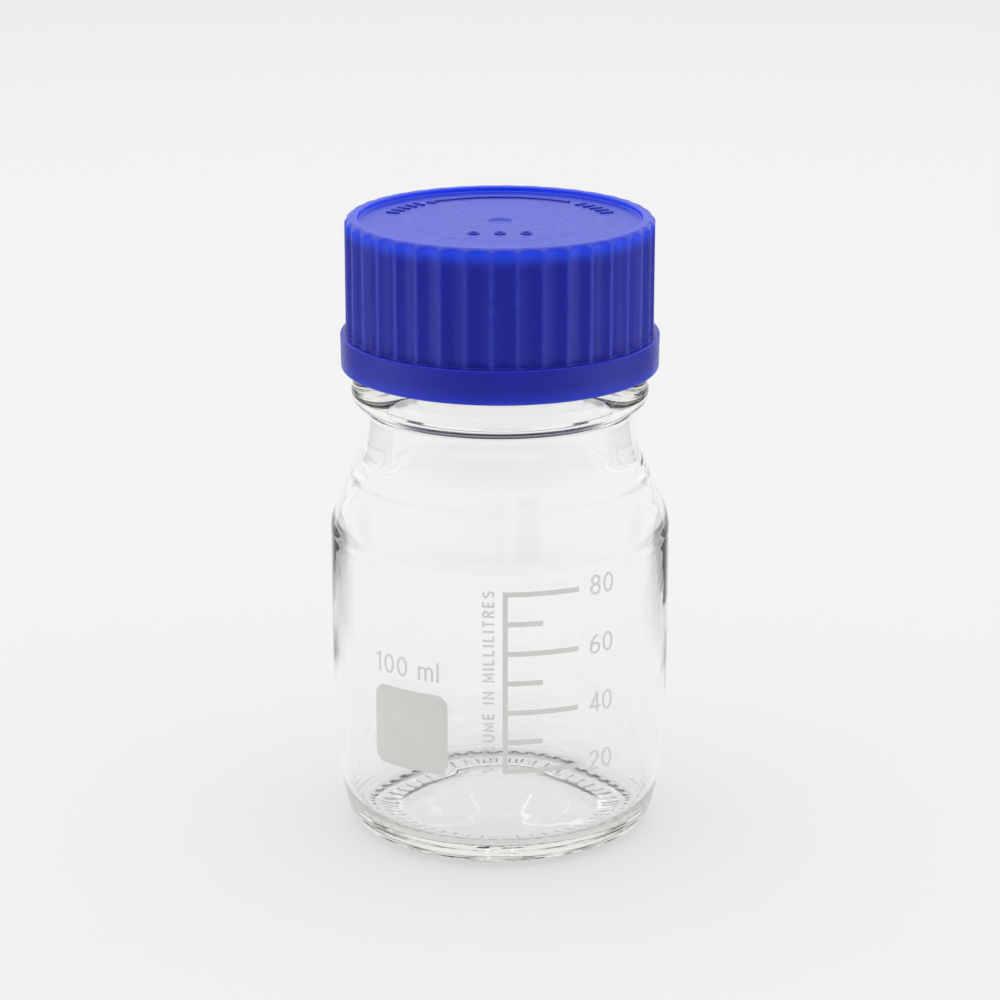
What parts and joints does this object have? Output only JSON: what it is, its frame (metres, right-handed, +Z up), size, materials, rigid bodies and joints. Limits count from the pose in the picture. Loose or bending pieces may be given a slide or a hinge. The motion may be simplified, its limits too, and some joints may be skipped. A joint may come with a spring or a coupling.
{
  "type": "reagent bottle",
  "caption": "Clear glass laboratory bottle with a wide threaded neck, a ribbed plastic screw cap, a pouring ring, a printed volume scale and a writing field.",
  "frame": {"origin": "centre of the circle the bottle stands on", "axes": "+Z up along the bottle's axis; the printed scale faces -Y"},
  "size_m": [0.056, 0.0561, 0.1032],
  "materials": {
    "glass": "polished, clear borosilicate glass",
    "enamel": "thin fired enamel print, pale warm grey",
    "ring_plastic": "smooth moulded polypropylene",
    "liner": "smooth off-white elastomer",
    "cap_plastic": "satin moulded polypropylene"
  },
  "bodies": {
    "bottle": {"glass_bottle": "glass", "volume_scale": "enamel", "writing_panel": "enamel", "pouring_ring": "ring_plastic"},
    "liner": {"cap_liner": "liner"},
    "cap": {"screw_cap": "cap_plastic"}
  },
  "joints": [
    {"name": "cap_lift", "type": "slide", "parent": "bottle", "child": "liner", "axis": [0, 0, 1], "range_m": [0, 0.028]},
    {"name": "cap_turn", "type": "hinge", "parent": "liner", "child": "cap", "pos_m": [0, 0, 0.1], "axis": [0, 0, 1], "range_deg": [0, 2520.1]}
  ],
  "couplings": [
    {"joint": "cap_turn", "follows": "cap_lift", "rad_per_m": 1570.8}
  ]
}
